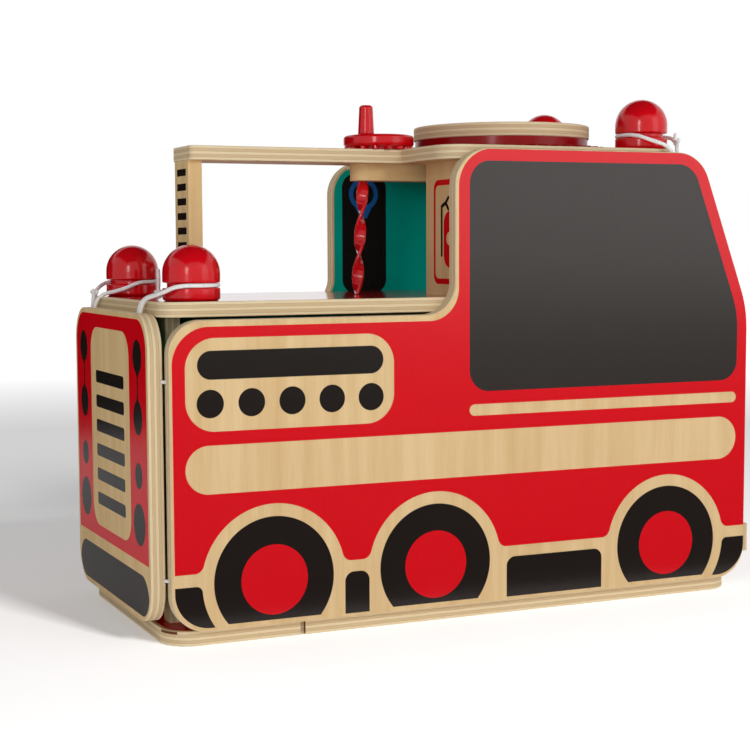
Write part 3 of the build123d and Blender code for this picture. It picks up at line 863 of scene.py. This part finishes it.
def nose_print(art, y, z):
    """Red over black inside a bare rim, louvres on a bare field, and ringed lamps at both sides."""
    inside = rounded_box(y, z, *nose_box) - rim
    art.paint(both(inside, z - nose_red_foot), red)
    art.paint(both(inside, nose_black_head - z), black_ink)
    art.bare(rounded_box(y, z, *nose_field))
    art.paint(louvres(y, z, *nose_slots), black_ink)
    aside = abs(y) - nose_lamp[0]
    lamp = hypotenuse(aside, z - nose_lamp[1])
    outer, middle, inner = nose_rings
    art.bare(outer - lamp)
    art.paint(middle - lamp, black_ink)
    art.bare(inner - lamp)
    art.paint(rounded_box(aside, z, *nose_light), black_ink)


def screen_depth(x, y, z):
    """Depth through the leaning board, from its inner face."""
    out = (x - screen_foot[0]) * math.cos(brow_lean) + (z - screen_foot[1]) * math.sin(brow_lean)
    return out + board_thickness


def screen_print(art, y, z):
    art.paint(both(nose_box[1] - rim - abs(y), between(z, *screen_heights)), red)
    art.paint(rounded_box(y, z, *screen_window, screen_band) + screen_band, window_ink)


def bumper_print(art, y, z):
    art.paint(rounded_box(y, z, *bumper_box, 1.5) + 0.3, black_ink)


def cleat_depth(x, y, z):
    return (z - cleat_low) / cleat_plies


dress_board("front_wall", X, 210.0, nose_print)
dress_board("windscreen", X, None, screen_print, depth_of=screen_depth)
dress_board("front_bumper", X, 224.0, bumper_print, grain=Y)
dress_board("pole_cleat", Z, cleat_low, grain=X, sheen=0.04, solid=True, depth_of=cleat_depth)

# %% [markdown]
# The gears, the crank, the lift car and the domes are hardwood dipped in glossy lacquer. That is a
# clear coat over colour, with a low roughness and a very shallow waviness, because a perfect surface
# looks like plastic. Bare dowels show straight grain.

# %% Lacquer and bare dowels
def lacquer(name, tint, roughness=0.22, coat=0.5):
    """Clear coat over colour that clouds a little, with a shallow waviness."""
    finish = Finish(name)
    finish.feed("Specular IOR Level", 0.15)
    x, y, z = finish.places()
    cloud = finish.noise(x * 0.07, y * 0.07, z * 0.07)
    finish.feed("Base Color", finish.mix(larger(cloud - 0.35, 0.0), tint, darker(tint, 0.86)))
    wave = finish.noise(x * 0.5, y * 0.5, z * 0.12)
    finish.feed("Roughness", wave * 0.08 + roughness - 0.04)
    finish.feed("Coat Weight", coat)
    finish.feed("Coat Roughness", 0.14)
    finish.bump(wave, 0.1, 0.0003)
    return finish.material


def dowel_finish():
    """Veneer whose grain runs up the dowel, without paint."""
    finish = Finish("bare_dowel")
    x, y, z = finish.places()
    wood, fine = veneer(finish, z, x, y)
    finish.feed("Base Color", wood)
    finish.feed("Roughness", fine * 0.1 + 0.5)
    finish.bump(fine, 0.15, 0.0003)
    return finish.material


glossy_red = lacquer("glossy_red", colour(212, 4, 20))
dress(glossy_red, "crank_wheel", "lift_car")
dress(lacquer("gear_red", colour(150, 2, 10), 0.3, 0.15), "turntable_gear")
dress(dowel_finish(), "dome_dowels", "crank_axle", "turntable_axle", "lift_rail")
print("lacquered nodes: 3, bare dowels: 4")

# %% [markdown]
# The landing disc is a board too, so its edge shows plies. A plain ring and four ticks mark its
# middle.

# %% Landing disc
disc_low = 337.5
ring_radius = 42.0
tick_inner = 50.0
tick_outer = 58.0
line_half = 1.3


def landing_print(art, x, y):
    """A ring, and a cross of ticks cut to a band further out."""
    across = x - turntable_x
    out = hypotenuse(across, y)
    art.paint(line_half - abs(out - ring_radius), coral)
    cross = line_half - smaller(abs(across), abs(y))
    art.paint(both(cross, between(out, tick_inner, tick_outer)), coral)


dress_board("turntable_disc", Z, disc_low, landing_print, grain=X)

# %% [markdown]
# Round pieces are worked out as surfaces: a profile of radius and height turns once about an upright
# line. It is joined from straight runs and arcs, as a wood turner would draw it. A modifier could do
# the same, but computed points keep exact sizes and close the poles cleanly.


# %% Surfaces from grids of points
def quads_of(points, first):
    """The faces between neighbouring points of a grid, whose own points are numbered from first."""
    rows, columns = points.shape[:2]
    number = first + np.arange(rows * columns).reshape(rows, columns)
    below, above = number[:-1], number[1:]
    return np.stack([below, np.roll(below, -1, 1), np.roll(above, -1, 1), above], -1).reshape(-1, 4)


def surface(name, grids, material, body):
    """A mesh from grids of points, shape (rows, columns, 3) in metres, each closed round its columns."""
    counts = [grid.shape[0] * grid.shape[1] for grid in grids]
    faces = [quads_of(grid, sum(counts[:index])) for index, grid in enumerate(grids)]
    mesh = bpy.data.meshes.new(name)
    vertices = np.concatenate([grid.reshape(-1, 3) for grid in grids])
    mesh.from_pydata(vertices.tolist(), [], np.concatenate(faces).tolist())
    shape = bmesh.new()
    shape.from_mesh(mesh)
    bmesh.ops.remove_doubles(shape, verts=shape.verts, dist=1e-6)
    bmesh.ops.holes_fill(shape, edges=[e for e in shape.edges if e.is_boundary], sides=0)
    bmesh.ops.recalc_face_normals(shape, faces=shape.faces)
    shape.to_mesh(mesh)
    shape.free()
    mesh.polygons.foreach_set("use_smooth", np.ones(len(mesh.polygons), dtype=bool))
    piece = bpy.data.objects.new(name, mesh)
    mesh.materials.append(material)
    bpy.context.scene.collection.objects.link(piece)
    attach(piece, body)
    return piece


def stand_in(node):
    """Hide the CAD node that a piece stands in for."""
    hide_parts(node)


def bend(centre, radius, start, stop, count=8):
    """Points on an arc of a profile; angles in degrees from straight out, upwards."""
    angle = np.radians(np.linspace(start, stop, count))
    return np.stack([centre[0] + radius * np.cos(angle), centre[1] + radius * np.sin(angle)], -1)


def run(start, stop, count=5):
    """Points on a straight run of a profile."""
    return np.linspace(start, stop, count)


def turned(name, profile, centre, material, body, segments=112):
    """A surface of revolution: radius and height of each profile point, turned about centre."""
    radius, height = profile.T
    angle = np.linspace(0, math.tau, segments, endpoint=False)
    circle = np.stack([np.cos(angle), np.sin(angle)], -1)
    points = np.zeros((len(radius), segments, 3))
    points[..., :2] = radius[:, None, None] * circle
    points[..., 2] = height[:, None]
    return surface(name, [points + np.asarray(centre)], material, body)


# %% [markdown]
# Each dome is a flange, a groove for the elastic and a round head. Small arcs break its corners,
# where lacquer pools and catches the light. Its size comes from the CAD node that it stands for.

# %% Turned domes
flange_share = 8.5 / 36.8
groove_share = 3.4 / 36.8
groove_depth = 0.003
lip = 0.0008
foot_round = 0.0025
dome_nodes = ("dome_rear_near", "dome_rear_far", "dome_cab_near", "dome_cab_far")


def dome_profile(radius, height):
    """Flange, groove and head: straight runs joined by small arcs, and a quarter circle on top."""
    flange = height * flange_share
    top = flange + height * groove_share
    waist = radius - groove_depth
    shoulder = height - radius
    return np.concatenate([
        run((0, 0), (radius - foot_round, 0), 4),
        bend((radius - foot_round, foot_round), foot_round, -90, 0),
        bend((radius - lip, flange - lip), lip, 0, 90),
        bend((waist + lip, flange + lip), lip, 270, 180),
        bend((waist + lip, top - lip), lip, 180, 90),
        bend((radius - lip, top + lip), lip, -90, 0),
        run((radius, top + lip * 2), (radius, shoulder - lip), 4),
        bend((0, shoulder), radius, 0, 90, 40),
    ])


def node_size(node):
    """A round node's radius and height, and the middle of its foot."""
    low, high = (np.array(corner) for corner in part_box(node))
    middle = (low + high) / 2
    return (high[0] - low[0]) / 2, high[2] - low[2], (middle[0], middle[1], low[2])


for node in dome_nodes:
    radius, height, place = node_size(node)
    name = node.replace("dome", "turned_dome")
    dome = turned(name, dome_profile(radius, height), place, glossy_red, "station")
    stand_in(node)
print("domes", len(dome_nodes))

# %% [markdown]
# The crank's handle is a tapered peg, thicker at the foot, with a soft top. It is turned like the
# domes and keeps the CAD peg's place and height.

# %% Crank handle
foot_radius, peg_height, peg_place = node_size("crank_peg")
head_radius = foot_radius * 5 / 6
peg_round = 0.0022
foot_lip = 0.0004
peg_profile = np.concatenate([
    run((0, 0), (foot_radius, 0), 3),
    bend((foot_radius - foot_lip, 0.0007), foot_lip, -90, 10, 4),
    run((foot_radius - foot_lip / 2, 0.0014), (head_radius, peg_height - peg_round * 1.3), 8),
    bend((head_radius - peg_round, peg_height - peg_round), peg_round, 5, 90, 10),
    run((head_radius - peg_round, peg_height), (0, peg_height), 4)[1:],
])
peg = turned("crank_handle", peg_profile, peg_place, glossy_red, "crank", 72)
stand_in("crank_peg")
print("handle height", round(peg_height, 4))

# %% [markdown]
# The pole is a flat strip twisted about its length: a small rounded rectangle carried up a slightly
# leaning line while it turns half a turn every 29 mm. A Screw modifier can't lean and twist at once,
# but a formula can, because place and turn both follow from the height.

# %% Twisted pole
pole_half_turn = 0.0293
pole_start = math.radians(66.2)
pole_width = 0.0086
pole_thickness = 0.0026
pole_foot = np.array((-0.047, 0.0, 0.2238))
pole_lean = 0.0054
pole_height = 0.0827


def rounded_section(width, thickness, radius, count=7):
    """Points round a small rectangle with rounded corners, in order."""
    corners = []
    for turn_start, sign in ((0, (1, 1)), (90, (-1, 1)), (180, (-1, -1)), (270, (1, -1))):
        middle = (sign[0] * (width / 2 - radius), sign[1] * (thickness / 2 - radius))
        corners.append(bend(middle, radius, turn_start, turn_start + 90, count))
    return np.concatenate(corners)


section = rounded_section(pole_width, pole_thickness, 0.0009)
share = np.linspace(0, 1, 160)
twist = pole_start + math.pi * pole_height * share / pole_half_turn
spine = pole_foot + np.outer(share, (pole_lean, 0.0, pole_height))
turned_x = np.outer(np.cos(twist), section[:, 0]) - np.outer(np.sin(twist), section[:, 1])
turned_y = np.outer(np.sin(twist), section[:, 0]) + np.outer(np.cos(twist), section[:, 1])
pole_points = np.stack([turned_x, turned_y, np.zeros_like(turned_x)], -1) + spine[:, None, :]
pole = surface("twisted_strip", [pole_points], glossy_red, "station")
stand_in("twisted_pole")
print("pole rows", len(share))

# %% [markdown]
# Loops of round white elastic hold the panels shut. Each comes out of two small holes in a board's
# edge, runs up to a dome and goes once round its groove. A loop is a NURBS curve, which is pulled
# towards its control points but never bends sharply, as stretched elastic does. The points are the
# loop's route in the CAD model, eight of them round the dome.

# %% Woven elastic
def elastic_finish():
    """White braid: two sets of slanting threads, crossed, over fine fibre noise."""
    finish = Finish("white_elastic")
    x, y, z = finish.places()
    one = ((x + y + z) * 4.2).math("SINE")
    other = ((x - y + z * 0.6) * 4.2).math("SINE")
    braid = one * other * 0.5 + 0.5
    fibre = finish.noise(x * 3.0, y * 3.0, z * 3.0, 2.0)
    tone = braid * 0.6 + fibre * 0.4
    base = finish.ramp(tone, (0.15, colour(222, 219, 218)), (0.7, colour(250, 249, 247)))
    finish.feed("Base Color", base)
    finish.feed("Roughness", fibre * 0.2 + 0.68)
    finish.shader.inputs["Sheen Weight"].default_value = 0.25
    finish.bump(tone, 0.35, 0.0003)
    return finish.material


white_elastic = elastic_finish()

# %% Routes of the four loops
elastic_diameter = 0.0028
rear_route = [
    (-0.229, -0.0568, 0.2123),
    (-0.22872, -0.0569, 0.22446),
    (-0.20994, -0.04733, 0.2286),
    (-0.1988, -0.04754, 0.234),
    (-0.18388, -0.05558, 0.234),
    (-0.17738, -0.06873, 0.234),
    (-0.18208, -0.08262, 0.234),
    (-0.19523, -0.08912, 0.234),
    (-0.21197, -0.08644, 0.234),
    (-0.22095, -0.07985, 0.2286),
    (-0.22872, -0.0613, 0.22446),
    (-0.229, -0.0612, 0.2123),
]
cab_route = [
    (0.1598, -0.098, 0.3216),
    (0.1597, -0.09772, 0.32959),
    (0.14256, -0.09461, 0.33468),
    (0.13582, -0.08574, 0.3387),
    (0.13287, -0.06905, 0.3387),
    (0.13914, -0.0558, 0.3387),
    (0.15295, -0.05087, 0.3387),
    (0.1662, -0.05714, 0.3387),
    (0.17449, -0.07193, 0.3387),
    (0.1749, -0.08306, 0.33468),
    (0.1641, -0.09772, 0.32959),
    (0.1642, -0.098, 0.3216),
]


def mirrored(route):
    """The same loop on the far side."""
    return [(x, -y, z) for x, y, z in route]


def spline_curve(name, route):
    """A smooth open curve with the route's points as its control points."""
    data = bpy.data.curves.new(name, "CURVE")
    data.dimensions = "3D"
    data.resolution_u = 10
    spline = data.splines.new("NURBS")
    spline.points.add(len(route) - 1)
    spline.points.foreach_set("co", np.column_stack([route, np.ones(len(route))]).ravel())
    spline.order_u = 3
    spline.use_endpoint_u = True
    curve = bpy.data.objects.new(name, data)
    bpy.context.scene.collection.objects.link(curve)
    return curve


def line_of(curve):
    """Points along a curve that has no thickness yet, in order."""
    bpy.context.view_layer.update()
    plain = bpy.data.meshes.new_from_object(curve.evaluated_get(bpy.context.evaluated_depsgraph_get()))
    points = np.zeros(len(plain.vertices) * 3)
    plain.vertices.foreach_get("co", points)
    bpy.data.meshes.remove(plain)
    return points.reshape(-1, 3)


# %% [markdown]
# Where the elastic's ends are tied there is a small overhand knot with a cut end. The knot is a
# closed curve that winds round while it crosses itself three times, which sums of sines draw. A tube
# is a circle carried along a path, always square to it: its two side directions come from the path's
# own direction and a direction to lean on.

# %% Tubes and knots
def unit(vectors):
    return vectors / np.linalg.norm(vectors, axis=-1, keepdims=True)


def tube(path, radius, lean, sides=12):
    """A grid of points round a path; radius may vary along it, and lean sets where the circle starts."""
    along = unit(np.gradient(path, axis=0))
    side = unit(np.cross(along, np.broadcast_to(lean, path.shape)))
    up = np.cross(side, along)
    angle = np.linspace(0, math.tau, sides, endpoint=False)
    circle = side[:, None] * np.cos(angle)[:, None] + up[:, None] * np.sin(angle)[:, None]
    return path[:, None] + circle * np.broadcast_to(radius, len(path))[:, None, None]


def rounded_ends(count, radius, length):
    """A tube's radius along its length, which shrinks like a half ball at both ends."""
    place = np.linspace(0, length, count)
    near = np.clip(1 - np.minimum(place, length - place) / radius, 0, 0.995)
    return radius * np.sqrt(1 - near ** 2)


knot_tube = 0.00125
knot_reach = 0.0016
knot_thickness = 0.0011
tail_sway = 0.0006


def knot_grids(place, along, tail_length):
    """A trefoil round the elastic at place, and one cut end that stands up from it."""
    turn = np.linspace(0, math.tau, 97)
    out = np.sin(turn) + 2 * np.sin(2 * turn)
    up = np.cos(turn) - 2 * np.cos(2 * turn)
    side = unit(np.cross(along, (0.0, 0.0, 1.0)))
    rise = np.cross(side, along)
    flat = side * out[:, None] + rise * up[:, None]
    trefoil = place + flat * knot_reach / 2 - along * np.sin(3 * turn)[:, None] * knot_thickness
    height = np.linspace(0, 1, 24)
    sway = side * np.sin(height * 3.0)[:, None] * tail_sway
    tail = place + np.outer(height, (0.0, 0.0, tail_length)) + sway
    return [
        tube(trefoil, knot_tube * 0.8, unit(trefoil - place + along * 1e-5), 10),
        tube(tail, rounded_ends(24, knot_tube, tail_length), along, 12),
    ]


# %% Loops with their knots
rear_length = 0.162
cab_length = 0.149
# Where along a loop its knot sits, as a share, and how long the knot's cut end is.
rear_knots = {"near": (0.145, 0.0168), "far": (0.9, 0.003)}
cab_knot = (0.84, 0.006)


def make_loop(name, node, body, route, length, knot_share, tail_length):
    """The elastic round its route, which rides on a panel, with a knot on its smooth line."""
    curve = spline_curve(name, route)
    line = line_of(curve)
    data = curve.data
    data.bevel_depth = elastic_diameter / 2
    data.bevel_resolution = 5
    data.use_fill_caps = True
    data.materials.append(white_elastic)
    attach(curve, body)
    stand_in(node)
    index = int(len(line) * knot_share)
    along = unit(line[index + 1] - line[index - 1])
    knot = surface(name + "_knot", knot_grids(line[index], along, tail_length), white_elastic, body)
    print(name, "points on its line:", len(line))


for side, turn in (("near", list), ("far", mirrored)):
    knot = rear_knots[side]
    make_loop("rear_elastic_" + side, "rear_loop_" + side, "rear_panel", turn(rear_route), rear_length, *knot)
for side, turn in (("near", list), ("far", mirrored)):
    body = side + "_side"
    make_loop("cab_elastic_" + side, "cab_loop_" + side, body, turn(cab_route), cab_length, *cab_knot)

# %% [markdown]
# At each rear corner the boards are tied by two short bits of the same elastic, which work as hinges.
# Only a white dot of each shows in the gap. Each is a tube that bulges outwards a little.

# %% Ties at the rear corners
tie_heights = (0.044, 0.173)
tie_length = 0.0095
tie_radius = 0.0012
tie_bulge = 0.0002


def tie_grids(side):
    """Both ties of one corner; side is -1 for the near side and 1 for the far side."""
    share = np.linspace(-0.5, 0.5, 25)
    direction = np.array((1.0, side, 0.0)) / math.sqrt(2)
    outward = np.array((-1.0, side, 0.0)) / math.sqrt(2)
    swell = np.cos(share * math.pi)[:, None] * outward * tie_bulge
    radius = rounded_ends(25, tie_radius, tie_length)
    ties = []
    for height in tie_heights:
        middle = np.array(((rear_end + panel_rear / 2) / 1000, side * inner_half_width / 1000, height))
        ties.append(tube(middle + share[:, None] * direction * tie_length + swell, radius, (0, 0, 1)))
    return ties


for label, side in (("near", -1), ("far", 1)):
    ties = surface(label + "_corner_ties", tie_grids(side), white_elastic, "rear_panel")
    stand_in(label + "_seam_ties")
print("ties", 2 * len(tie_heights))

# %% [markdown]
# The studio is a pale floor with a white surround. The floor glows a little, only towards the camera
# and more further off, so it melts into the white behind while it still takes the shadow. The
# surround is white to the camera and in mirrors, and dimmer as a light.

# %% Floor and surround
floor_half = 12.0
floor_white = 0.93
near_glow = 0.22
far_glow = 0.6
glow_start = 1200.0
ambient = 0.255
white = (1.0, 1.0, 1.0, 1.0)


def camera_share(tree):
    """1 for light that goes to the camera, straight, mirrored or through glass, and 0 for the rest."""
    path = tree.nodes.new("ShaderNodeLightPath")
    share = path.outputs["Is Camera Ray"]
    for name in ("Is Glossy Ray", "Is Transmission Ray"):
        total = tree.nodes.new("ShaderNodeMath")
        total.operation = "MAXIMUM"
        tree.links.new(share, total.inputs[0])
        tree.links.new(path.outputs[name], total.inputs[1])
        share = total.outputs[0]
    return share


def stage_card(name, corners, finish):
    """One flat face that belongs to the studio and not to the truck."""
    mesh = bpy.data.meshes.new(name)
    mesh.from_pydata(corners, [], [(0, 1, 2, 3)])
    mesh.materials.append(finish.material)
    card = bpy.data.objects.new(name, mesh)
    bpy.context.scene.collection.objects.link(card)
    return card


floor_paint = Finish("pale_floor")
floor_paint.feed("Base Color", (floor_white, floor_white, floor_white, 1.0))
floor_paint.feed("Roughness", 0.9)
floor_paint.feed("Specular IOR Level", 0.0)
far_off = (hypotenuse(*floor_paint.places()[:2]) - glow_start).math("DIVIDE", glow_start, clamp=True)
to_camera = Value(floor_paint, camera_share(floor_paint.tree))
floor_paint.feed("Emission Strength", to_camera * (far_off * far_glow + near_glow))
floor_paint.feed("Emission Color", white)
floor_corners = [(x * floor_half, y * floor_half, 0.0) for x, y in ((-1, -1), (1, -1), (1, 1), (-1, 1))]
floor = stage_card("floor", floor_corners, floor_paint)

world = bpy.data.worlds.new("surround")
world.use_nodes = True
bpy.context.scene.world = world
surround = world.node_tree
sky = surround.nodes["Background"]
sky.inputs["Color"].default_value = white
strength = surround.nodes.new("ShaderNodeMapRange")
strength.inputs["To Min"].default_value = ambient
strength.inputs["To Max"].default_value = 1.0
surround.links.new(camera_share(surround), strength.inputs["Value"])
surround.links.new(strength.outputs["Result"], sky.inputs["Strength"])
print("floor glow", near_glow, "surround", ambient)

# %% [markdown]
# The key light stands high at the right front, so the truck's rear is the darker side. A stronger
# copy of it shines on the floor alone, which keeps the floor white and its shadow clear. A narrow
# light at the left front gives the domes their upright highlights, and a broad one at the right front
# softens them. Two fills reach the truck's back and the far panel's inner face. The key and the fills
# don't show in mirrors, and black cards that only mirrors see keep the lacquer from mirroring too
# much white.

# %% Lights
truck_middle = (0.0, 0.0, 0.15)
far_panel_middle = (0.0, 0.0, 0.24)
key_place = (0.46, -2.2, 1.4)
key_size = (0.4, 0.65)


def softbox(name, place, target, size, watts, in_mirrors):
    """A rectangle of light at place: its back points away from the target, its width lies level."""
    data = bpy.data.lights.new(name, "AREA")
    data.shape = "RECTANGLE"
    data.size, data.size_y = size
    data.energy = watts
    light = bpy.data.objects.new(name, data)
    place = np.array(place)
    back = unit(place - np.array(target))
    right = unit(np.cross((0.0, 0.0, 1.0), back))
    matrix = np.eye(4)
    matrix[:3] = np.column_stack([right, np.cross(back, right), back, place])
    light.matrix_world = Matrix(matrix.tolist())
    light.visible_glossy = in_mirrors
    bpy.context.scene.collection.objects.link(light)
    return light


def shine_only_on(light, things):
    """Keep a light for the given objects."""
    targets = bpy.data.collections.new(light.name + "_targets")
    for thing in things:
        targets.objects.link(thing)
    light.light_linking.receiver_collection = targets


truck = [thing for thing in bpy.data.objects if thing.type != "LIGHT" and thing != floor]
softbox("key", key_place, truck_middle, key_size, 12.5, False)
floor_key = softbox("floor_key", key_place, truck_middle, key_size, 45.0, False)
back_fill = softbox("back_fill", (-0.3, 2.3, 1.3), truck_middle, (1.8, 1.4), 15.0, False)
panel_fill = softbox("panel_fill", (-1.5, -1.7, 0.44), far_panel_middle, (0.9, 0.3), 8.5, False)
softbox("left_front", (-1.38, -1.72, 0.72), truck_middle, (0.32, 0.95), 9.6, True)
softbox("right_front", (1.3, -1.9, 0.82), truck_middle, (1.1, 1.35), 6.2, True)
shine_only_on(floor_key, [floor])
shine_only_on(back_fill, truck)
shine_only_on(panel_fill, [frame["nodes"]["far_side_panel"]])
print("lights", len(bpy.data.lights))

# %% Black cards that only mirrors see
card_paint = Finish("card_black")
card_paint.feed("Base Color", (0.01, 0.01, 0.01, 1.0))
card_paint.feed("Specular IOR Level", 0.0)
card_corners = {
    "card_behind": [(x, 1.1, z) for x, z in ((-2.6, 0.0), (-0.12, 0.0), (-0.12, 0.9), (-2.6, 0.9))],
    "card_before": [(x, y, 0.004) for x, y in ((-0.9, -0.16), (-0.9, -4.5), (4.0, -4.5), (4.0, -0.16))],
    "card_above": [(x, y, 2.7) for x, y in ((-2.5, -2.5), (-2.5, 2.5), (2.5, 2.5), (2.5, -2.5))],
}
for name, corners in card_corners.items():
    card = stage_card(name, corners, card_paint)
    card.visible_camera = False
    card.visible_diffuse = False
    card.visible_shadow = False
print("cards", len(card_corners))
